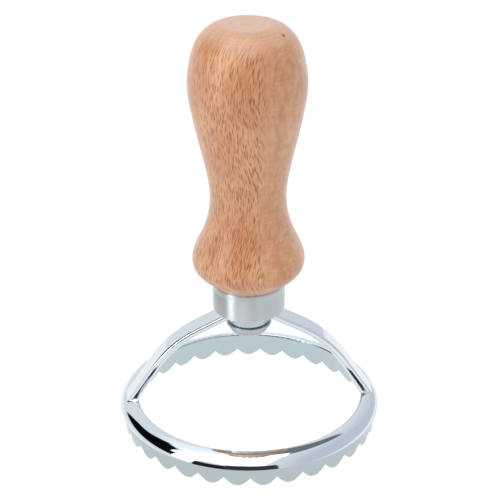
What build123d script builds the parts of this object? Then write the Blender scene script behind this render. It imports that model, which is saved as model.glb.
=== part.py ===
"""Round biscuit cutter: a scalloped ring under an arch, screwed to a turned beech handle.

Millimetres, +Z up. The origin is on the handle's axis, in the plane that the scallops stand on.
The arch runs along X.
"""

import os
from math import atan2, cos, hypot, pi, sin, tan

from build123d import *

# Scalloped blade
scallop_count = 31
scallop_depth = 2.4
lobe_flat_width = 0.6
blade_tip_radius = 33.8
blade_tip_wall = 0.7

# Rounded rim above the blade
neck_height = 5.2
neck_overhang = 0.6
neck_fillet = 0.2
rim_outer_radius = 35.0
rim_edge_height = 5.35
rim_edge_fillet = 0.12
rim_shoulder_radius = 33.2
rim_shoulder_height = 7.55
rim_inner_radius = 30.0
rim_top_height = 8.3
rim_inner_fillet = 0.45

# Arch over the ring
strap_width = 7.0
strap_thickness = 1.8
strap_edge_fillet = 0.75
hub_top_height = 33.8
hub_flat_half_length = 4.9
foot_inset = 1.4
foot_height = 7.0
foot_width = 2.9
foot_fillet = 0.5

# Hub boss, which the screw passes through
boss_radius = 5.4
boss_height = 3.9
boss_fillet = 0.4
screw_clearance = 0.15

# Screw and washer
screw_radius = 2.5
screw_length = 34.0
screw_tip_length = 4.0
screw_head_radius = 5.0
screw_head_height = 2.2
screw_head_fillet = 1.3
recess_span = 4.8
recess_width = 1.1
recess_depth = 1.3
washer_radius = 6.0
washer_thickness = 0.8
washer_edge_fillet = 0.15

# Ferrule
ferrule_radius = 9.5
ferrule_height = 7.8
ferrule_wall = 0.8
ferrule_floor = 0.9
ferrule_foot_fillet = 0.6
ferrule_lip_fillet = 0.2

# Handle
overall_height = 112.0
handle_foot_radius = 9.65
handle_foot_rise = 0.3
lower_bulge_radius = 14.7
lower_bulge_height = 48.6
waist_radius = 9.85
waist_height = 66.0
bulb_radius = 15.13
bulb_height = 96.8
crown_flat_radius = 6.4
tenon_clearance = 0.05
tenon_end_gap = 0.4
pilot_clearance = 0.05
pilot_spare_depth = 3.0

overrun = 2.0
full_turn = 360.0

# How the arch bends between hub and foot, as shares of its run and drop
knee_run_share = 0.577
knee_drop_share = 0.322
knee_blend_share = 0.38

# Shape of a scallop's flank: the share of half a lobe over which it would fall straight
flank_reach_share = 0.64

# Turn of the scallops from a notch on -Y, as a share of their pitch: it sets a lobe on -X
scallop_turn_share = 0.25

# In-between points of the handle's outline, as (height share, radius share) from one named
# station to the next
foot_to_bulge_shares = [(0.333, 0.54), (0.652, 0.90)]
bulge_to_waist_shares = [(0.178, 0.144), (0.39, 0.495), (0.667, 0.845)]
waist_to_bulb_shares = [(0.211, 0.13), (0.5, 0.502), (0.773, 0.843)]
bulb_to_crown_shares = [(0.322, 0.057), (0.644, 0.214), (0.866, 0.478)]

# Heights that follow from the sizes above
boss_bottom_height = hub_top_height - boss_height
washer_bottom_height = boss_bottom_height - washer_thickness
ferrule_top_height = hub_top_height + ferrule_height
tenon_bottom_height = hub_top_height + ferrule_floor + tenon_end_gap
screw_hole_radius = screw_radius + screw_clearance


def inner_wall_radius(height):
    """Radius of the ring's inner wall, which leans in from the blade's tip to the rim."""
    tip = blade_tip_radius - blade_tip_wall
    return tip + (rim_inner_radius - tip) * height / rim_top_height


def between(low, high, shares):
    """Points between two (radius, height) stations, at the given shares of the way."""
    return [
        (low[0] + radius * (high[0] - low[0]), low[1] + height * (high[1] - low[1]))
        for height, radius in shares
    ]


# Arch: points of its outer line, as (x, z), and of the inner line, which lies one thickness below
# it at the hub and the knee, and spreads to the foot's width on the rim
foot_x = rim_outer_radius - foot_inset
hub_corner = Vector(hub_flat_half_length, hub_top_height)
foot_corner = Vector(foot_x, foot_height)
knee = Vector(
    hub_flat_half_length + knee_run_share * (foot_x - hub_flat_half_length),
    hub_top_height - knee_drop_share * (hub_top_height - foot_height),
)
arm_fall = atan2(hub_corner.Y - knee.Y, knee.X - hub_corner.X)
leg_fall = atan2(knee.Y - foot_corner.Y, foot_corner.X - knee.X)
half_turn = (leg_fall - arm_fall) / 2
leg_run = hypot(foot_corner.X - knee.X, foot_corner.Y - knee.Y)
knee_radius = knee_blend_share * leg_run / tan(half_turn)
middle_fall = (arm_fall + leg_fall) / 2
inner_knee = knee - Vector(sin(middle_fall), cos(middle_fall)) * (strap_thickness / cos(half_turn))
inner_hub = Vector(
    hub_flat_half_length,
    inner_knee.Y + (inner_knee.X - hub_flat_half_length) * tan(arm_fall),
)
inner_foot = foot_corner - Vector(foot_width, 0)
buried_height = rim_edge_height
buried_outer = Vector(foot_x - neck_overhang, buried_height)
buried_inner = Vector(inner_wall_radius(buried_height) + neck_overhang, buried_height)

# Notch cutter: a prism that leaves half a lobe on each side of it
with BuildPart() as notch_cutter:
    half_pitch = (blade_tip_radius - blade_tip_wall / 2) * tan(pi / scallop_count)
    half_notch = half_pitch - lobe_flat_width / 2
    with BuildSketch(Plane.XZ) as notch_outline:
        with BuildLine():
            flank = Bezier(
                (0, scallop_depth),
                (flank_reach_share * half_notch, 0),
                (half_notch, 0),
            )
            Polyline(flank @ 1, (half_notch, -overrun), (0, -overrun), (0, scallop_depth))
        make_face()
        mirror(about=Plane.YZ)
    extrude(amount=rim_outer_radius + overrun)

# Arch: a strap of one thickness bent over the ring, with a round boss through its middle
with BuildPart() as arch:
    with BuildSketch(Plane.XZ) as arch_outline:
        with BuildLine():
            FilletPolyline(
                (0, hub_top_height),
                hub_corner,
                knee,
                foot_corner,
                radius=[strap_thickness, knee_radius],
            )
            Polyline(foot_corner, buried_outer, buried_inner, inner_foot)
            FilletPolyline(
                inner_foot,
                inner_knee,
                inner_hub,
                radius=knee_radius - strap_thickness,
            )
            Polyline(inner_hub, (0, inner_hub.Y), (0, hub_top_height))
        make_face()
        mirror(about=Plane.YZ)
    extrude(amount=strap_width / 2, both=True)
    fillet(arch.faces().filter_by(Axis.Y).edges(), radius=strap_edge_fillet)
    with BuildSketch(Plane.XY.offset(boss_bottom_height)):
        Circle(boss_radius)
    extrude(amount=boss_height)
    boss_faces = arch.faces().filter_by(Axis.Z)
    boss_end = boss_faces.filter_by_position(Axis.Z, boss_bottom_height, boss_bottom_height)
    fillet(boss_end.edges(), radius=boss_fillet)

# Casting: thin scalloped blade below, rounded rim above, and the arch
with BuildPart() as cutter_casting:
    with BuildSketch(Plane.XZ) as ring_outline:
        with BuildLine():
            rim_top = TangentArc(
                (rim_inner_radius, rim_top_height),
                (rim_shoulder_radius, rim_shoulder_height),
                tangent=(1, 0),
            )
            TangentArc(
                rim_top @ 1,
                (rim_outer_radius, rim_edge_height),
                tangent=rim_top % 1,
            )
            Polyline(
                (rim_outer_radius, rim_edge_height),
                (rim_outer_radius - neck_overhang, neck_height),
                (blade_tip_radius, 0),
                (blade_tip_radius - blade_tip_wall, 0),
                (rim_inner_radius, rim_top_height),
            )
        make_face()
        corners = ring_outline.vertices().sort_by(Axis.Y)
        fillet(corners[-1], radius=rim_inner_fillet)
        fillet(corners.filter_by_position(Axis.Y, neck_height, neck_height), radius=neck_fillet)
        edge_corner = corners.filter_by_position(Axis.Y, rim_edge_height, rim_edge_height)
        fillet(edge_corner, radius=rim_edge_fillet)
    revolve(axis=Axis.Z)
    add(arch.part)
    fillet(cutter_casting.edges(Select.NEW), radius=foot_fillet)
    scallop_turn = scallop_turn_share * full_turn / scallop_count
    with PolarLocations(0, scallop_count, start_angle=-scallop_turn):
        add(notch_cutter.part, mode=Mode.SUBTRACT)
    with Locations((0, 0, hub_top_height)):
        Hole(radius=screw_hole_radius, depth=boss_height + overrun)

with BuildPart() as ferrule:
    with BuildSketch(Plane.XY.offset(hub_top_height)):
        Circle(ferrule_radius)
    extrude(amount=ferrule_height)
    fillet(ferrule.edges().sort_by(Axis.Z)[0], radius=ferrule_foot_fillet)
    fillet(ferrule.edges().sort_by(Axis.Z)[-1], radius=ferrule_lip_fillet)
    with BuildSketch(Plane.XY.offset(hub_top_height + ferrule_floor)):
        Circle(ferrule_radius - ferrule_wall)
    extrude(amount=ferrule_height, mode=Mode.SUBTRACT)
    with Locations((0, 0, hub_top_height)):
        Hole(radius=screw_hole_radius, depth=ferrule_floor + overrun)

# Handle: outline stations as (radius, height), from the ferrule's lip to the crown
foot_station = (handle_foot_radius, ferrule_top_height + handle_foot_rise)
bulge_station = (lower_bulge_radius, lower_bulge_height)
waist_station = (waist_radius, waist_height)
bulb_station = (bulb_radius, bulb_height)
crown_station = (crown_flat_radius, overall_height)
tenon_radius = ferrule_radius - ferrule_wall - tenon_clearance

with BuildPart() as handle:
    with BuildSketch(Plane.XZ) as handle_outline:
        with BuildLine():
            Spline(
                foot_station,
                *between(foot_station, bulge_station, foot_to_bulge_shares),
                bulge_station,
                *between(bulge_station, waist_station, bulge_to_waist_shares),
                waist_station,
                *between(waist_station, bulb_station, waist_to_bulb_shares),
                bulb_station,
                *between(bulb_station, crown_station, bulb_to_crown_shares),
                crown_station,
            )
            Polyline(
                crown_station,
                (0, overall_height),
                (0, tenon_bottom_height),
                (tenon_radius, tenon_bottom_height),
                (tenon_radius, ferrule_top_height),
                (handle_foot_radius - handle_foot_rise, ferrule_top_height),
                foot_station,
            )
        make_face()
    revolve(axis=Axis.Z)

    # Pilot hole for the screw
    screw_tip_height = washer_bottom_height + screw_length
    pilot_depth = screw_tip_height + pilot_spare_depth - tenon_bottom_height
    with BuildSketch(Plane.XY.offset(tenon_bottom_height)):
        Circle(screw_radius + pilot_clearance)
    extrude(amount=pilot_depth, mode=Mode.SUBTRACT)

with BuildPart() as handle_screw:
    # Domed head under the washer
    with BuildSketch(Plane.XY.offset(washer_bottom_height)):
        Circle(screw_head_radius)
    extrude(amount=-screw_head_height)
    fillet(handle_screw.edges().sort_by(Axis.Z)[0], radius=screw_head_fillet)
    # Shank and its pointed tip
    with BuildSketch(Plane.XY.offset(washer_bottom_height)):
        Circle(screw_radius)
    extrude(amount=screw_length)
    chamfer(
        handle_screw.edges().sort_by(Axis.Z)[-1],
        length=screw_tip_length,
        length2=screw_radius / 2,
    )
    # Cross recess for the driver
    with BuildSketch(Plane.XY.offset(washer_bottom_height - screw_head_height)):
        Rectangle(recess_span, recess_width)
        Rectangle(recess_width, recess_span)
    extrude(amount=recess_depth, mode=Mode.SUBTRACT)

with BuildPart() as screw_washer:
    with BuildSketch(Plane.XY.offset(washer_bottom_height)):
        Circle(washer_radius)
        Circle(screw_hole_radius, mode=Mode.SUBTRACT)
    extrude(amount=washer_thickness)
    outer_edges = screw_washer.edges().filter_by(GeomType.CIRCLE).group_by(SortBy.RADIUS)[-1]
    fillet(outer_edges, radius=washer_edge_fillet)

sub_parts = {
    "cutter_casting": cutter_casting,
    "ferrule": ferrule,
    "handle": handle,
    "handle_screw": handle_screw,
    "screw_washer": screw_washer,
}

os.makedirs("parts", exist_ok=True)
for name, sub_part in sub_parts.items():
    sub_part.part.label = name
    export_step(sub_part.part, f"parts/{name}.step")
    print(name, "solids", len(sub_part.part.solids()), "volume", round(sub_part.part.volume, 1))
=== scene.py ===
"""Round biscuit cutter: dressed pieces, finishes, floor, lights and camera around its solids.

Blender 4.5. Metres, +Z up, the arch along X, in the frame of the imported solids.
"""

from math import cos, pi, radians, sin

import bmesh
import bpy
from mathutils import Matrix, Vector


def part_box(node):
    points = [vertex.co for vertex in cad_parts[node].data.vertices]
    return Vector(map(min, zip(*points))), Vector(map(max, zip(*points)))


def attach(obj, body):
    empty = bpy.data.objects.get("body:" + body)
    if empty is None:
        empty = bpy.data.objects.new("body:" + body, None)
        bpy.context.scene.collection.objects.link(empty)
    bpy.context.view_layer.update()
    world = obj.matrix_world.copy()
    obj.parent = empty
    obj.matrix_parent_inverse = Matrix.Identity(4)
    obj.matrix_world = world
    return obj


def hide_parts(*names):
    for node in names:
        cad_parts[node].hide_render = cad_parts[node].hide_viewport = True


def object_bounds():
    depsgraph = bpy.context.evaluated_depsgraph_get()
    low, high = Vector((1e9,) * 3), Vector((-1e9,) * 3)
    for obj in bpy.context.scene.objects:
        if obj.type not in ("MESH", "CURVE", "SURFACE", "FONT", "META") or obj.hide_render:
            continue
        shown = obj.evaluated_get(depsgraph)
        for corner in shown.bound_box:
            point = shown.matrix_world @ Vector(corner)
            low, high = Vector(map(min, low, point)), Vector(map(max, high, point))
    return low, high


bl_info = {
    "name": "Biscuit Cutter",
    "version": (1, 0, 0),
    "blender": (4, 5, 0),
    "location": "View3D > Sidebar > Cutter",
    "description": "Dresses a round biscuit cutter with a turned beech handle",
    "category": "Object",
}

MM = 0.001
BODY = "root"

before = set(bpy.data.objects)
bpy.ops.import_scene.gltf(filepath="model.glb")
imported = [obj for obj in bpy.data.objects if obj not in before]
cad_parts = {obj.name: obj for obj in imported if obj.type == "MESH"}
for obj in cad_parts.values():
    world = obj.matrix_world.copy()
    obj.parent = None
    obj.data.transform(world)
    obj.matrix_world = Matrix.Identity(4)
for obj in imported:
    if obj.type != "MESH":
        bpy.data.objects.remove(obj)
cad_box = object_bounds()
ferrule_low, ferrule_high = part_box("ferrule")
handle_low, handle_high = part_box("handle")

# Sides of a turned piece, steps around its rounded edges, and how close two corners are merged
TURNED_SIDES = 128
EDGE_STEPS = 4
MERGE_DISTANCE = 0.001 * MM
SMOOTH_ANGLE = radians(35)

# Steps of the handle's outline, and how far above its foot and below its crown it is first met
OUTLINE_STEPS = 72
LEAST_RISE = 0.002 * MM
TENON_GAP = 0.05 * MM

# The wood, in millimetres across and up the grain: how far the grain strays and over what length,
# the sizes of its blotches, fibres and ripples, and the spacing of the lathe's lines
GRAIN_STRAY = (1.6, 4.5, 0.0)
STRAY_LENGTH = 11
BLOTCH_SIZE = (9, 9, 18)
FIBRE_SIZE = (0.5, 1.6, 4.0)
RIPPLE_SIZE = (3.0, 4.0, 0.6)
LATHE_LINE_GAP = 1 / 1.1

# Three sizes of fleck: shares of the rays' gap and height, a fleck's reach in its cell, its depth
FLECKS = (
    (1.0, 1.0, 0.32, 0.9),
    (0.8, 0.75, 0.3, 0.8),
    (1.8, 1.2, 0.17, 0.95),
)

# How far round from the arch's side, as the cosine, the rays begin to lie along the surface and
# where they do so wholly
QUARTER_SAWN = (0.7, 0.84)

# Depths under the crown, in millimetres, where its end grain begins and where it is full: on the
# shoulder and on the flat
SHOULDER_DEPTHS = (4.5, 1.0)
FLAT_DEPTHS = (0.3, 0.1)

# The pin knot, in millimetres: its place, and how far out it ends and is darkest
PIN_KNOT = (8.5, -5.34, 110.71)
KNOT_REACH = (0.75, 0.3)

# The casting's satin zones, in millimetres, each with where it begins and where it is full. The
# inner wall leans in as it rises, and its radii are what they would be at the blade's tip.
WALL_LEAN = 3.1 / 8.3
WALL_RADII = (33.6, 33.45)
WALL_HEIGHTS = (8.29, 8.15)
BOSS_RADII = (5.7, 5.5)
BLADE_HEIGHTS = (5.2, 5.1)
BUFFING_WAVE = 9

# The ferrule's turning lines and the steel's blotches, in millimetres
TURNING_LINES = (30, 30, 0.3)
STEEL_BLOTCH = 2

# The studio's walls, the light on them, and how far right of straight ahead, as the sine, the left
# wall's colour ends and the right one's begins
LEFT_WALL = "#D9DCDF"
RIGHT_WALL = "#BEC4CD"
CEILING = "#F4F8FB"
WALL_LIGHT = 1.3
WALL_TURN = (0.2, 0.7)

# Patches of the studio: bearing from the front and half the width, lowest and highest rise and the
# blur of the edges, all in degrees, and the colour
PATCHES = (
    (-150, 55, 60, 180, 16, CEILING),
    (-35.5, 14.5, -60, 24, 2, "#1E2022"),
    (-2, 21, -60, 30, 2, "#323538"),
    (-95.5, 38.5, 12, 55, 3, "#08090B"),
    (155, 19, 50, 77, 2, "#69717A"),
)

# The floor, the area lights and the camera
FLOOR_SPAN = 6.0
PAPER_FIBRE = 3
OVERHEAD_PLACE = (-0.145, -0.56, 1.0)
OVERHEAD_SPAN = (0.77, 1.75)
LEFT_PLACE = (-0.47, -0.38, 0.71)
LEFT_TURN = (radians(42), 0, radians(-51))
LEFT_SPAN = (0.8, 0.4)
STRIP_PLACE = (-0.745, -0.43, 0.37)
STRIP_TURN = (radians(70), 0, radians(-60))
STRIP_SPAN = (0.3, 0.55)
SENSOR_WIDTH = 36.0
CLIP_START = 10 * MM


# Colours and nodes


def linear(code):
    """Linear RGBA of an sRGB hex colour."""
    shares = [int(code[i : i + 2], 16) / 255 for i in (1, 3, 5)]
    return [s / 12.92 if s <= 0.04045 else ((s + 0.055) / 1.055) ** 2.4 for s in shares] + [1.0]


def add_node(tree, kind, inputs=(), **settings):
    """Adds a node with its settings. Its inputs go by name, or by place in a list. Each one is a
    value, an output, or a node whose first output it takes.
    """
    made = tree.nodes.new(kind)
    for name, value in settings.items():
        setattr(made, name, value)
    live = [socket for socket in made.inputs if socket.enabled]
    for key, value in inputs.items() if isinstance(inputs, dict) else enumerate(inputs):
        socket = live[key] if isinstance(key, int) else next(s for s in live if s.name == key)
        if isinstance(value, bpy.types.Node):
            value = next(output for output in value.outputs if output.enabled)
        if isinstance(value, bpy.types.NodeSocket):
            tree.links.new(value, socket)
        else:
            socket.default_value = value
    return made


def new_material(name):
    """An empty material: itself, its node tree and its Object coordinates."""
    material = bpy.data.materials.new(name)
    material.use_nodes = True
    tree = material.node_tree
    tree.nodes.clear()
    place = add_node(tree, "ShaderNodeTexCoord").outputs["Object"]
    return material, tree, place


# Sizes and colours that a user may change


class HandleSettings(bpy.types.PropertyGroup):
    """The handle's turning."""

    crown_edge: bpy.props.FloatProperty(
        name="Crown edge",
        description="How wide the edge of the crown's flat is rounded",
        unit="LENGTH",
        precision=5,
        default=0.7 * MM,
    )
    foot_rise: bpy.props.FloatProperty(
        name="Foot rise",
        description="Height and depth of the small chamfer above the ferrule",
        unit="LENGTH",
        precision=5,
        default=0.3 * MM,
    )


class WoodSettings(bpy.types.PropertyGroup):
    """The handle's wood."""

    pale: bpy.props.FloatVectorProperty(
        name="Pale wood",
        description="Colour of the early wood",
        subtype="COLOR",
        size=4,
        default=linear("#CF9B71"),
    )
    deep: bpy.props.FloatVectorProperty(
        name="Deep wood",
        description="Colour of the late wood",
        subtype="COLOR",
        size=4,
        default=linear("#B47448"),
    )
    fleck: bpy.props.FloatVectorProperty(
        name="Flecks",
        description="Colour of the ray flecks",
        subtype="COLOR",
        size=4,
        default=linear("#8C4514"),
    )
    # The crown's paler colour is end grain and partly a painted sheen of the light falling on its
    # top
    end_grain_and_sheen: bpy.props.FloatVectorProperty(
        name="End grain",
        description="Colour of the crown's flat",
        subtype="COLOR",
        size=4,
        default=linear("#C89C80"),
    )
    turn: bpy.props.FloatProperty(
        name="Heart side",
        description="How far the growth rings are turned from the arch",
        subtype="ANGLE",
        default=radians(-37),
    )
    ring_gap: bpy.props.FloatProperty(
        name="Ring gap",
        description="Width of one year's growth, in millimetres",
        default=3.1,
    )
    ray_width: bpy.props.FloatProperty(
        name="Ray gap",
        description="Distance from ray to ray along the growth rings, in millimetres",
        default=0.46,
    )
    ray_height: bpy.props.FloatProperty(
        name="Ray height",
        description="Distance from ray to ray up the grain, in millimetres",
        default=4.4,
    )


class FerruleSettings(bpy.types.PropertyGroup):
    """The ferrule's spun cup."""

    wall: bpy.props.FloatProperty(
        name="Wall",
        description="Thickness of the wall",
        unit="LENGTH",
        precision=5,
        default=0.8 * MM,
    )
    floor: bpy.props.FloatProperty(
        name="Floor",
        description="Thickness of the floor",
        unit="LENGTH",
        precision=5,
        default=0.9 * MM,
    )
    hole: bpy.props.FloatProperty(
        name="Hole",
        description="Radius of the screw's hole",
        unit="LENGTH",
        precision=5,
        default=2.65 * MM,
    )
    foot_round: bpy.props.FloatProperty(
        name="Foot round",
        description="Radius of the lower outer edge",
        unit="LENGTH",
        precision=5,
        default=0.6 * MM,
    )
    lip_round: bpy.props.FloatProperty(
        name="Lip round",
        description="Radius of the upper outer edge",
        unit="LENGTH",
        precision=5,
        default=0.2 * MM,
    )
    groove_drop: bpy.props.FloatProperty(
        name="Groove drop",
        description="How far the turned line lies below the lip",
        unit="LENGTH",
        precision=5,
        default=1.6 * MM,
    )
    groove_width: bpy.props.FloatProperty(
        name="Groove width",
        description="Width of the turned line",
        unit="LENGTH",
        precision=5,
        default=0.36 * MM,
    )
    groove_depth: bpy.props.FloatProperty(
        name="Groove depth",
        description="Depth of the turned line",
        unit="LENGTH",
        precision=5,
        default=0.05 * MM,
    )


class MetalSettings(bpy.types.PropertyGroup):
    """The plated casting, the ferrule and the fixings."""

    chrome: bpy.props.FloatVectorProperty(
        name="Chrome",
        description="Colour of the chrome plate",
        subtype="COLOR",
        size=4,
        default=linear("#D9E0E5"),
    )
    # Greyer than the chrome as satin plate and partly as a painted darker reflection
    blade: bpy.props.FloatVectorProperty(
        name="Blade",
        description="Colour of the satin plate on the blade",
        subtype="COLOR",
        size=4,
        default=linear("#B1BDC1"),
    )
    # Greyer than the chrome as satin plate and partly as a painted darker reflection
    inside: bpy.props.FloatVectorProperty(
        name="Inside",
        description="Colour of the satin plate inside the ring and on the boss",
        subtype="COLOR",
        size=4,
        default=linear("#B7C6CD"),
    )
    aluminium: bpy.props.FloatVectorProperty(
        name="Aluminium",
        description="Colour of the ferrule",
        subtype="COLOR",
        size=4,
        default=linear("#D4DADB"),
    )
    steel: bpy.props.FloatVectorProperty(
        name="Steel",
        description="Colour of the screw and washer",
        subtype="COLOR",
        size=4,
        default=linear("#B5BABD"),
    )


class StageSettings(bpy.types.PropertyGroup):
    """Camera, floor and lights."""

    lens: bpy.props.FloatProperty(
        name="Lens",
        description="Focal length on a 36 mm sensor, in millimetres",
        default=117.95,
    )
    eye: bpy.props.FloatVectorProperty(
        name="Camera place",
        description="Where the camera stands",
        subtype="TRANSLATION",
        unit="LENGTH",
        default=(-0.0209, -0.3814, 0.2409),
    )
    aim: bpy.props.FloatVectorProperty(
        name="Camera aim",
        description="The point that the camera looks at",
        subtype="TRANSLATION",
        unit="LENGTH",
        default=(0.0004, 0.0, 0.05045),
    )
    roll: bpy.props.FloatProperty(
        name="Camera roll",
        description="Turn of the camera about its own line of sight",
        subtype="ANGLE",
        default=radians(-0.33),
    )
    floor: bpy.props.FloatVectorProperty(
        name="Floor",
        description="Colour of the floor's paper, apart from its glow",
        subtype="COLOR",
        size=4,
        default=linear("#4C4C4C"),
    )
    floor_glow: bpy.props.FloatProperty(
        name="Floor glow",
        description="Light that the floor gives of its own, as on a lit table",
        default=0.97,
    )
    softbox_power: bpy.props.FloatProperty(
        name="Softbox power",
        description="Power of the softbox overhead",
        unit="POWER",
        default=6.0,
    )
    left_power: bpy.props.FloatProperty(
        name="Left softbox power",
        description="Power of the softbox on the left",
        unit="POWER",
        default=1.6,
    )
    strip_power: bpy.props.FloatProperty(
        name="Strip power",
        description="Power of the upright strip light between the flags",
        unit="POWER",
        default=2.0,
    )


# Turned pieces


def wall_radius(node, height):
    """Outer radius of a turned CAD node at a height."""
    outside = Vector((0, cad_box[0][1] * 2, height))
    hit, place, _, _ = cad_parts[node].ray_cast(outside, Vector((0, 1, 0)))
    if not hit:
        raise RuntimeError(f"{node} has no wall at {height}")
    return -place.y


def turned(name, stations, closed_end):
    """A piece turned on the lathe: a circle at the first (radius, height) station, drawn out
    through the others. With a closed end it starts on a disc and ends at a pole, and without one
    its last station comes back to the first.
    """
    (radius, height), *others = stations
    bpy.ops.object.select_all(action="DESELECT")
    bpy.ops.mesh.primitive_circle_add(
        vertices=TURNED_SIDES,
        radius=radius,
        fill_type="TRIFAN" if closed_end else "NOTHING",
        location=(0, 0, height),
    )
    piece = bpy.context.object
    piece.name = name
    bpy.ops.object.mode_set(mode="EDIT")
    bpy.ops.mesh.select_mode(type="EDGE")
    bpy.ops.mesh.select_all(action="SELECT")
    if closed_end:
        bpy.ops.mesh.region_to_loop()
    for next_radius, next_height in others:
        bpy.ops.mesh.extrude_region_move(
            TRANSFORM_OT_translate={"value": (0, 0, next_height - height)}
        )
        scale = next_radius / radius
        bpy.ops.transform.resize(value=(scale, scale, 1), center_override=(0, 0, next_height))
        radius, height = next_radius, next_height
    bpy.ops.mesh.select_all(action="SELECT")
    bpy.ops.mesh.remove_doubles(threshold=MERGE_DISTANCE)
    bpy.ops.mesh.normals_make_consistent(inside=False)
    bpy.ops.object.mode_set(mode="OBJECT")
    bpy.ops.object.transform_apply(location=True)
    return piece


def round_edge(piece, radius, height, width):
    """Rounds the edge loop of a turned piece that lies at a radius and a height."""
    bpy.ops.object.mode_set(mode="EDIT")
    bpy.ops.mesh.select_mode(type="EDGE")
    bpy.ops.mesh.select_all(action="DESELECT")
    net = bmesh.from_edit_mesh(piece.data)
    for edge in net.edges:
        edge.select = all(
            abs(corner.co.z - height) < MERGE_DISTANCE
            and abs(corner.co.xy.length - radius) < MERGE_DISTANCE
            for corner in edge.verts
        )
    bmesh.update_edit_mesh(piece.data)
    bpy.ops.mesh.bevel(offset=width, segments=EDGE_STEPS, affect="EDGES")
    bpy.ops.object.mode_set(mode="OBJECT")


def quarter_round(centre_radius, centre_height, size, start):
    """Stations around a quarter of a circle, from an angle on, anticlockwise in the section."""
    turns = [start + pi / 2 * step / EDGE_STEPS for step in range(EDGE_STEPS + 1)]
    return [
        (centre_radius + size * cos(turn), centre_height + size * sin(turn)) for turn in turns
    ]


def stand_in(piece, node, material):
    """Puts a finished piece in the place of a CAD node."""
    bpy.ops.object.shade_smooth_by_angle(angle=SMOOTH_ANGLE)
    piece.data.materials.append(material)
    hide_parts(node)
    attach(piece, BODY)


def dress(node, material):
    """Gives a CAD node its finish."""
    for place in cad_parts[node].material_slots:
        place.material = material


# Materials


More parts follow.
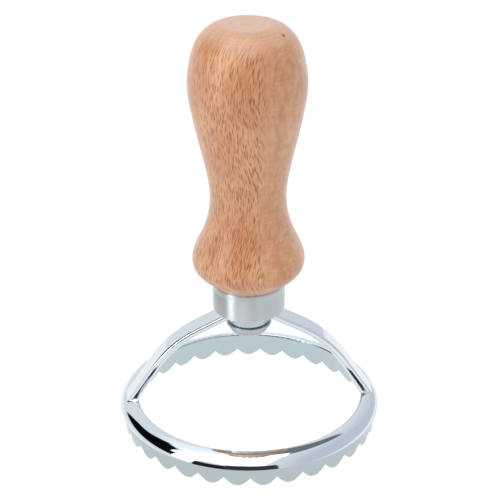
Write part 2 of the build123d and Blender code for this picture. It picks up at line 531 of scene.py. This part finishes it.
def turned_beech():
    """Beech, turned and sanded, under a satin lacquer.

    The eye sees warm tan wood with soft growth bands. Rays run from the heart to the bark as thin
    sheets: where the surface cuts them end-on they are short dark dashes up the grain, and where
    it lies along them they fade to fine level ripples. The crown shows paler end grain, its
    paleness partly a painted sheen of the light on its flat and shoulder, and the fine lines of
    the lathe. The lacquer gives a broad, soft sheen.
    """
    wood = bpy.context.scene.cutter_wood
    material, tree, place = new_material("turned_beech_lacquered")

    # The tree's own axes in millimetres: X along the growth rings, Y through them, Z up the grain
    straight = add_node(
        tree,
        "ShaderNodeMapping",
        {"Vector": place, "Rotation": (0, 0, wood.turn), "Scale": (MM, MM, MM)},
        vector_type="TEXTURE",
    )
    drift = add_node(
        tree,
        "ShaderNodeTexNoise",
        {"Vector": straight, "Scale": 1 / STRAY_LENGTH, "Detail": 1.0},
    )
    grown = add_node(
        tree,
        "ShaderNodeVectorMath",
        [drift.outputs["Color"], GRAIN_STRAY, straight],
        operation="MULTIPLY_ADD",
    )
    grain = add_node(tree, "ShaderNodeSeparateXYZ", [grown])

    # Growth rings darken towards their late wood, then fade again
    inward = grain.outputs["Y"]
    year = add_node(tree, "ShaderNodeMath", [inward, wood.ring_gap], operation="DIVIDE")
    season = add_node(tree, "ShaderNodeMath", [year, 1.0], operation="PINGPONG")
    late = add_node(
        tree,
        "ShaderNodeMapRange",
        {"Value": season, "From Min": 0.45, "From Max": 1.0, "To Max": 0.16},
        interpolation_type="SMOOTHSTEP",
    )
    blotches = add_node(
        tree,
        "ShaderNodeMapping",
        {"Vector": grown, "Scale": BLOTCH_SIZE},
        vector_type="TEXTURE",
    )
    tone = add_node(
        tree,
        "ShaderNodeTexNoise",
        {"Vector": blotches, "Scale": 1.0, "Detail": 2.0},
    )
    tone_share = add_node(
        tree,
        "ShaderNodeMapRange",
        {"Value": tone, "From Min": 0.3, "From Max": 0.7, "To Max": 0.75},
    )
    fibre_place = add_node(
        tree,
        "ShaderNodeMapping",
        {"Vector": grown, "Scale": FIBRE_SIZE},
        vector_type="TEXTURE",
    )
    fibre = add_node(
        tree,
        "ShaderNodeTexNoise",
        {"Vector": fibre_place, "Scale": 1.0, "Detail": 2.0},
    )
    fibre_share = add_node(
        tree,
        "ShaderNodeMapRange",
        {"Value": fibre, "From Min": 0.3, "From Max": 0.7, "To Min": -0.3, "To Max": 0.3},
    )
    banded = add_node(tree, "ShaderNodeMath", [late, tone_share], operation="ADD")
    shade = add_node(
        tree,
        "ShaderNodeMath",
        [banded, fibre_share],
        operation="ADD",
        use_clamp=True,
    )
    ground = add_node(
        tree,
        "ShaderNodeMix",
        {"Factor": shade, "A": list(wood.pale), "B": list(wood.deep)},
        data_type="RGBA",
    )

    # The share of the surface that lies along the rays, on the quarter-sawn sides
    level = add_node(tree, "ShaderNodeVectorMath", [straight, (1, 1, 0)], operation="MULTIPLY")
    bearing = add_node(tree, "ShaderNodeVectorMath", [level], operation="NORMALIZE")
    facing = add_node(tree, "ShaderNodeVectorMath", [bearing], operation="ABSOLUTE")
    along = add_node(tree, "ShaderNodeSeparateXYZ", [facing]).outputs["X"]
    quarter = add_node(
        tree,
        "ShaderNodeMapRange",
        {"Value": along, "From Min": QUARTER_SAWN[0], "From Max": QUARTER_SAWN[1]},
        interpolation_type="SMOOTHSTEP",
    )

    # Ray flecks are lens-shaped ends of the sheets, drawn wider than life so that they show
    sheets = add_node(tree, "ShaderNodeCombineXYZ", [grain.outputs["X"], grain.outputs["Z"]])
    dashes = None
    for width, length, reach, strength in FLECKS:
        cells = add_node(
            tree,
            "ShaderNodeMapping",
            {"Vector": sheets, "Scale": (wood.ray_width * width, wood.ray_height * length, 1)},
            vector_type="TEXTURE",
        )
        cell = add_node(
            tree,
            "ShaderNodeTexVoronoi",
            {"Vector": cells, "Scale": 1.0},
            voronoi_dimensions="2D",
        )
        chance = add_node(tree, "ShaderNodeSeparateColor", [cell.outputs["Color"]])
        depth = add_node(
            tree,
            "ShaderNodeMapRange",
            {"Value": chance.outputs["Red"], "From Max": 0.7, "To Max": strength},
        )
        lens = add_node(
            tree,
            "ShaderNodeMapRange",
            {"Value": cell.outputs["Distance"], "From Min": reach, "From Max": reach * 0.45},
            interpolation_type="SMOOTHSTEP",
        )
        mark = add_node(tree, "ShaderNodeMath", [lens, depth], operation="MULTIPLY")
        if dashes is not None:
            mark = add_node(tree, "ShaderNodeMath", [dashes, mark], operation="MAXIMUM")
        dashes = mark
    open_side = add_node(
        tree,
        "ShaderNodeMapRange",
        {"Value": quarter, "To Min": 1.0, "To Max": 0.06},
    )
    dashes = add_node(tree, "ShaderNodeMath", [dashes, open_side], operation="MULTIPLY")

    # Ripples along the rays, about 1 mm apart
    ripple_place = add_node(
        tree,
        "ShaderNodeMapping",
        {"Vector": grown, "Scale": RIPPLE_SIZE},
        vector_type="TEXTURE",
    )
    ripple = add_node(
        tree,
        "ShaderNodeTexNoise",
        {"Vector": ripple_place, "Scale": 1.0, "Detail": 1.0},
    )
    ripple_mark = add_node(
        tree,
        "ShaderNodeMapRange",
        {"Value": ripple, "From Min": 0.45, "From Max": 0.72, "To Max": 0.16},
        interpolation_type="SMOOTHSTEP",
    )
    ripples = add_node(tree, "ShaderNodeMath", [ripple_mark, quarter], operation="MULTIPLY")
    marks = add_node(tree, "ShaderNodeMath", [dashes, ripples], operation="ADD", use_clamp=True)
    marked = add_node(
        tree,
        "ShaderNodeMix",
        {"Factor": marks, "A": ground, "B": list(wood.fleck)},
        data_type="RGBA",
    )

    # End grain, partly painted sheen, on the crown's flat and down its shoulder; lathe lines
    # around it
    height = add_node(tree, "ShaderNodeSeparateXYZ", [place]).outputs["Z"]
    flat_start, flat_full = [handle_high.z - depth * MM for depth in FLAT_DEPTHS]
    flat = add_node(
        tree,
        "ShaderNodeMapRange",
        {"Value": height, "From Min": flat_start, "From Max": flat_full},
    )
    shoulder_start, shoulder_full = [handle_high.z - depth * MM for depth in SHOULDER_DEPTHS]
    shoulder = add_node(
        tree,
        "ShaderNodeMapRange",
        {"Value": height, "From Min": shoulder_start, "From Max": shoulder_full, "To Max": 0.6},
        interpolation_type="SMOOTHSTEP",
    )
    end_grain_and_sheen = add_node(tree, "ShaderNodeMath", [flat, shoulder], operation="MAXIMUM")
    capped = add_node(
        tree,
        "ShaderNodeMix",
        {"Factor": end_grain_and_sheen, "A": marked, "B": list(wood.end_grain_and_sheen)},
        data_type="RGBA",
    )
    out = add_node(tree, "ShaderNodeVectorMath", [level], operation="LENGTH").outputs["Value"]
    turns = add_node(
        tree,
        "ShaderNodeTexNoise",
        {"W": out, "Scale": 1 / LATHE_LINE_GAP, "Detail": 1.0},
        noise_dimensions="1D",
    )
    turn_line = add_node(
        tree,
        "ShaderNodeMapRange",
        {"Value": turns, "From Min": 0.5, "From Max": 0.62, "To Max": 0.5},
        interpolation_type="SMOOTHSTEP",
    )
    lines = add_node(tree, "ShaderNodeMath", [turn_line, shoulder], operation="MULTIPLY")
    lathed = add_node(
        tree,
        "ShaderNodeMix",
        {"Factor": lines, "A": capped, "B": list(wood.deep)},
        data_type="RGBA",
    )

    # A pin knot beside the crown
    away = add_node(
        tree,
        "ShaderNodeVectorMath",
        [place, [length * MM for length in PIN_KNOT]],
        operation="DISTANCE",
    ).outputs["Value"]
    knot = add_node(
        tree,
        "ShaderNodeMapRange",
        {"Value": away, "From Min": KNOT_REACH[0] * MM, "From Max": KNOT_REACH[1] * MM},
        interpolation_type="SMOOTHSTEP",
    )
    colour = add_node(
        tree,
        "ShaderNodeMix",
        {"Factor": knot, "A": lathed, "B": list(wood.fleck)},
        data_type="RGBA",
    )

    # Lacquer sinks a little into the flecks
    bump = add_node(
        tree,
        "ShaderNodeBump",
        {"Strength": 0.1, "Distance": 0.04 * MM, "Height": marks},
        invert=True,
    )
    shader = add_node(
        tree,
        "ShaderNodeBsdfPrincipled",
        {
            "Base Color": colour,
            "Roughness": 0.45,
            "IOR": 1.5,
            "Coat Weight": 0.5,
            "Coat Roughness": 0.3,
            "Sheen Weight": 0.3,
            "Sheen Roughness": 0.4,
            "Normal": bump,
        },
    )
    add_node(tree, "ShaderNodeOutputMaterial", {"Surface": shader})
    return material


def plated_chrome():
    """Bright chrome on a polished zinc casting: a hard mirror with a faint blue cast.

    The plate follows the slow waves that buffing leaves. The blade below the rim, the inner wall
    and the boss are only tumbled before plating, so they are satin. Their greyer colours are
    partly a painted darker reflection.
    """
    metal = bpy.context.scene.cutter_metal
    material, tree, place = new_material("die_cast_zinc_chromed")
    height = add_node(tree, "ShaderNodeSeparateXYZ", [place]).outputs["Z"]
    level = add_node(tree, "ShaderNodeVectorMath", [place, (1, 1, 0)], operation="MULTIPLY")
    out = add_node(tree, "ShaderNodeVectorMath", [level], operation="LENGTH").outputs["Value"]
    # The inner wall's lean is taken out before its radius is judged
    upright = add_node(tree, "ShaderNodeMath", [height, WALL_LEAN, out], operation="MULTIPLY_ADD")
    inside, under_top, boss, blade = [
        add_node(
            tree,
            "ShaderNodeMapRange",
            {"Value": value, "From Min": start * MM, "From Max": full * MM},
        )
        for value, (start, full) in (
            (upright, WALL_RADII),
            (height, WALL_HEIGHTS),
            (out, BOSS_RADII),
            (height, BLADE_HEIGHTS),
        )
    ]
    inner_wall = add_node(tree, "ShaderNodeMath", [inside, under_top], operation="MULTIPLY")
    inner = add_node(tree, "ShaderNodeMath", [inner_wall, boss], operation="MAXIMUM")
    satin = add_node(tree, "ShaderNodeMath", [inner, blade], operation="MAXIMUM")
    rough = add_node(tree, "ShaderNodeMapRange", {"Value": satin, "To Min": 0.05, "To Max": 0.26})
    # The blade, the inner wall and the boss take greyer colours: satin plate and partly a painted
    # darker reflection
    outer_colour = add_node(
        tree,
        "ShaderNodeMix",
        {"Factor": blade, "A": list(metal.chrome), "B": list(metal.blade)},
        data_type="RGBA",
    )
    colour = add_node(
        tree,
        "ShaderNodeMix",
        {"Factor": inner, "A": outer_colour, "B": list(metal.inside)},
        data_type="RGBA",
    )
    waves = add_node(
        tree,
        "ShaderNodeTexNoise",
        {"Vector": place, "Scale": 1 / (BUFFING_WAVE * MM), "Detail": 1.0},
    )
    bump = add_node(
        tree,
        "ShaderNodeBump",
        {"Strength": 0.15, "Distance": 0.1 * MM, "Height": waves},
    )
    shader = add_node(
        tree,
        "ShaderNodeBsdfPrincipled",
        {"Base Color": colour, "Metallic": 1.0, "Roughness": rough, "Normal": bump},
    )
    add_node(tree, "ShaderNodeOutputMaterial", {"Surface": shader})
    return material


def spun_aluminium():
    """Spun aluminium, polished on the spindle: its highlights stretch up and down the wall.

    The turning lines are finer than the picture shows, so they are drawn about 0.3 mm apart and
    only cloud the gloss.
    """
    metal = bpy.context.scene.cutter_metal
    material, tree, place = new_material("aluminium_spun_polished")
    lines_place = add_node(
        tree,
        "ShaderNodeMapping",
        {"Vector": place, "Scale": [length * MM for length in TURNING_LINES]},
        vector_type="TEXTURE",
    )
    lines = add_node(
        tree,
        "ShaderNodeTexNoise",
        {"Vector": lines_place, "Scale": 1.0, "Detail": 2.0},
    )
    rough = add_node(
        tree,
        "ShaderNodeMapRange",
        {"Value": lines, "From Min": 0.3, "From Max": 0.7, "To Min": 0.4, "To Max": 0.46},
    )
    around = add_node(tree, "ShaderNodeTangent", direction_type="RADIAL", axis="Z")
    shader = add_node(
        tree,
        "ShaderNodeBsdfPrincipled",
        {
            "Base Color": list(metal.aluminium),
            "Metallic": 1.0,
            "Roughness": rough,
            "Anisotropic": 1.0,
            "Anisotropic Rotation": 0.25,
            "Tangent": around,
        },
    )
    add_node(tree, "ShaderNodeOutputMaterial", {"Surface": shader})
    return material


def zinc_plated_steel():
    """Zinc-plated mild steel: bright but a little cloudy, in blotches of about 2 mm."""
    metal = bpy.context.scene.cutter_metal
    material, tree, place = new_material("steel_zinc_plated")
    cloud = add_node(
        tree,
        "ShaderNodeTexNoise",
        {"Vector": place, "Scale": 1 / (STEEL_BLOTCH * MM), "Detail": 3.0},
    )
    rough = add_node(
        tree,
        "ShaderNodeMapRange",
        {"Value": cloud, "From Min": 0.3, "From Max": 0.7, "To Min": 0.2, "To Max": 0.34},
    )
    shader = add_node(
        tree,
        "ShaderNodeBsdfPrincipled",
        {"Base Color": list(metal.steel), "Metallic": 1.0, "Roughness": rough},
    )
    add_node(tree, "ShaderNodeOutputMaterial", {"Surface": shader})
    return material


def lit_paper():
    """Matt paper on a light table. Its glow gives the white, and the paper itself is dark, so that
    hardly any shadow shows on it.
    """
    stage = bpy.context.scene.cutter_stage
    material, tree, place = new_material("lit_paper")
    fibres = add_node(
        tree,
        "ShaderNodeTexNoise",
        {"Vector": place, "Scale": 1 / (PAPER_FIBRE * MM), "Detail": 2.0},
    )
    rough = add_node(tree, "ShaderNodeMapRange", {"Value": fibres, "To Min": 0.85, "To Max": 0.95})
    shader = add_node(
        tree,
        "ShaderNodeBsdfPrincipled",
        {
            "Base Color": list(stage.floor),
            "Roughness": rough,
            "Specular IOR Level": 0.1,
            "Emission Strength": stage.floor_glow,
        },
    )
    add_node(tree, "ShaderNodeOutputMaterial", {"Surface": shader})
    return material


def studio_world():
    """A pale studio, greyer on the right, with the patches that the bright metal mirrors."""
    world = bpy.data.worlds.new("studio")
    world.use_nodes = True
    tree = world.node_tree
    tree.nodes.clear()
    way = add_node(tree, "ShaderNodeTexCoord").outputs["Generated"]
    aim = add_node(tree, "ShaderNodeSeparateXYZ", [way])
    rise = add_node(tree, "ShaderNodeMath", [aim.outputs["Z"]], operation="ARCSINE")
    level = add_node(tree, "ShaderNodeVectorMath", [way, (1, 1, 0)], operation="MULTIPLY")
    bearing = add_node(tree, "ShaderNodeVectorMath", [level], operation="NORMALIZE")
    rightward = add_node(
        tree,
        "ShaderNodeMapRange",
        {"Value": aim.outputs["X"], "From Min": WALL_TURN[0], "From Max": WALL_TURN[1]},
        interpolation_type="SMOOTHSTEP",
    )
    sky = add_node(
        tree,
        "ShaderNodeMix",
        {"Factor": rightward, "A": linear(LEFT_WALL), "B": linear(RIGHT_WALL)},
        data_type="RGBA",
    )
    for middle, half_width, bottom, top, blur, code in PATCHES:
        toward = add_node(
            tree,
            "ShaderNodeVectorMath",
            [bearing, (sin(radians(middle)), -cos(radians(middle)), 0)],
            operation="DOT_PRODUCT",
        )
        shares = [
            add_node(
                tree,
                "ShaderNodeMapRange",
                {"Value": value, "From Min": outside, "From Max": inside},
                interpolation_type="SMOOTHSTEP",
            )
            for value, outside, inside in (
                (toward, cos(radians(half_width + blur)), cos(radians(half_width))),
                (rise, radians(bottom - blur), radians(bottom)),
                (rise, radians(top + blur), radians(top)),
            )
        ]
        band = add_node(tree, "ShaderNodeMath", shares[:2], operation="MULTIPLY")
        patch = add_node(tree, "ShaderNodeMath", [band, shares[2]], operation="MULTIPLY")
        sky = add_node(
            tree,
            "ShaderNodeMix",
            {"Factor": patch, "A": sky, "B": linear(code)},
            data_type="RGBA",
        )
    back = add_node(tree, "ShaderNodeBackground", {"Color": sky, "Strength": WALL_LIGHT})
    add_node(tree, "ShaderNodeOutputWorld", {"Surface": back})
    return world


# Operators


class CUTTER_OT_casting(bpy.types.Operator):
    """Finish the ring and arch in chrome"""

    bl_idname = "cutter.casting"
    bl_label = "Casting"

    def execute(self, context):
        dress("cutter_casting", plated_chrome())
        return {"FINISHED"}


class CUTTER_OT_ferrule(bpy.types.Operator):
    """Turn the ferrule's cup, with its rounded foot and its turned line"""

    bl_idname = "cutter.ferrule"
    bl_label = "Ferrule"

    def execute(self, context):
        sizes = context.scene.cutter_ferrule
        low, high = ferrule_low.z, ferrule_high.z
        outer = ferrule_high.x
        inner = outer - sizes.wall
        groove = high - sizes.groove_drop
        half = sizes.groove_width / 2
        foot, lip = sizes.foot_round, sizes.lip_round
        stations = [
            (sizes.hole, low),
            *quarter_round(outer - foot, low + foot, foot, -pi / 2),
            (outer, groove - half),
            (outer - sizes.groove_depth, groove),
            (outer, groove + half),
            *quarter_round(outer - lip, high - lip, lip, 0),
            (inner, high),
            (inner, low + sizes.floor),
            (sizes.hole, low + sizes.floor),
            (sizes.hole, low),
        ]
        piece = turned("ferrule_cup", stations, closed_end=False)
        stand_in(piece, "ferrule", spun_aluminium())
        return {"FINISHED"}


class CUTTER_OT_handle(bpy.types.Operator):
    """Turn the handle, with the soft edge of its crown"""

    bl_idname = "cutter.handle"
    bl_label = "Handle"

    def execute(self, context):
        sizes = context.scene.cutter_handle
        lip, crown = ferrule_high.z, handle_high.z
        tenon = ferrule_high.x - context.scene.cutter_ferrule.wall - TENON_GAP
        foot = lip + sizes.foot_rise
        shares = [(1 - cos(pi * step / OUTLINE_STEPS)) / 2 for step in range(1, OUTLINE_STEPS)]
        heights = [foot + LEAST_RISE, *(foot + (crown - foot) * share for share in shares)]
        wall = [(wall_radius("handle", height), height) for height in heights]
        foot_radius = wall[0][0]
        crown_radius = wall_radius("handle", crown - LEAST_RISE)
        stations = [
            (tenon, handle_low.z),
            (tenon, lip),
            (foot_radius - sizes.foot_rise, lip),
            *wall,
            (crown_radius, crown),
            (crown_radius / 2, crown),
            (0, crown),
        ]
        piece = turned("turned_handle", stations, closed_end=True)
        round_edge(piece, crown_radius, crown, sizes.crown_edge)
        stand_in(piece, "handle", turned_beech())
        return {"FINISHED"}


class CUTTER_OT_fixings(bpy.types.Operator):
    """Finish the screw and its washer in bright steel"""

    bl_idname = "cutter.fixings"
    bl_label = "Fixings"

    def execute(self, context):
        steel = zinc_plated_steel()
        dress("handle_screw", steel)
        dress("screw_washer", steel)
        return {"FINISHED"}


class CUTTER_OT_stage(bpy.types.Operator):
    """Set out the floor, the light and the camera"""

    bl_idname = "cutter.stage"
    bl_label = "Stage"

    def execute(self, context):
        stage = context.scene.cutter_stage
        bpy.ops.object.select_all(action="DESELECT")
        bpy.ops.mesh.primitive_plane_add(size=FLOOR_SPAN)
        floor = context.object
        floor.name = "floor"
        floor.data.materials.append(lit_paper())

        for name, place, turn, span, power in (
            ("softbox_overhead", OVERHEAD_PLACE, (0, 0, 0), OVERHEAD_SPAN, stage.softbox_power),
            ("softbox_left", LEFT_PLACE, LEFT_TURN, LEFT_SPAN, stage.left_power),
            ("strip", STRIP_PLACE, STRIP_TURN, STRIP_SPAN, stage.strip_power),
        ):
            bpy.ops.object.light_add(type="AREA", location=place, rotation=turn)
            softbox = context.object
            softbox.name = name
            softbox.data.shape = "RECTANGLE"
            softbox.data.size, softbox.data.size_y = span
            softbox.data.energy = power
        context.scene.world = studio_world()

        bpy.ops.object.camera_add(location=stage.eye)
        camera = context.object
        camera.name = "camera"
        camera.data.lens = stage.lens
        camera.data.sensor_width = SENSOR_WIDTH
        camera.data.clip_start = CLIP_START
        gaze = Vector(stage.aim) - Vector(stage.eye)
        camera.rotation_euler = gaze.to_track_quat("-Z", "Y").to_euler()
        camera.rotation_euler.rotate_axis("Z", stage.roll)
        context.scene.camera = camera
        context.scene.view_settings.view_transform = "Standard"
        return {"FINISHED"}


class CUTTER_PT_panel(bpy.types.Panel):
    """The cutter's settings and pieces"""

    bl_label = "Biscuit Cutter"
    bl_idname = "CUTTER_PT_panel"
    bl_space_type = "VIEW_3D"
    bl_region_type = "UI"
    bl_category = "Cutter"

    def draw(self, context):
        column = self.layout.column()
        for group in GROUPS:
            settings = getattr(context.scene, group)
            for name in settings.bl_rna.properties.keys():
                if name not in ("rna_type", "name"):
                    column.prop(settings, name)
        for operator in OPERATORS:
            column.operator(operator.bl_idname)


GROUPS = {
    "cutter_handle": HandleSettings,
    "cutter_wood": WoodSettings,
    "cutter_ferrule": FerruleSettings,
    "cutter_metal": MetalSettings,
    "cutter_stage": StageSettings,
}
OPERATORS = (
    CUTTER_OT_casting,
    CUTTER_OT_ferrule,
    CUTTER_OT_handle,
    CUTTER_OT_fixings,
    CUTTER_OT_stage,
)


def register():
    for name, group in GROUPS.items():
        bpy.utils.register_class(group)
        setattr(bpy.types.Scene, name, bpy.props.PointerProperty(type=group))
    for kind in (*OPERATORS, CUTTER_PT_panel):
        bpy.utils.register_class(kind)


def unregister():
    for kind in reversed((*OPERATORS, CUTTER_PT_panel)):
        bpy.utils.unregister_class(kind)
    for name, group in GROUPS.items():
        delattr(bpy.types.Scene, name)
        bpy.utils.unregister_class(group)


def main():
    register()
    bpy.ops.cutter.casting()
    bpy.ops.cutter.ferrule()
    bpy.ops.cutter.handle()
    bpy.ops.cutter.fixings()
    bpy.ops.cutter.stage()


if __name__ == "__main__":
    main()
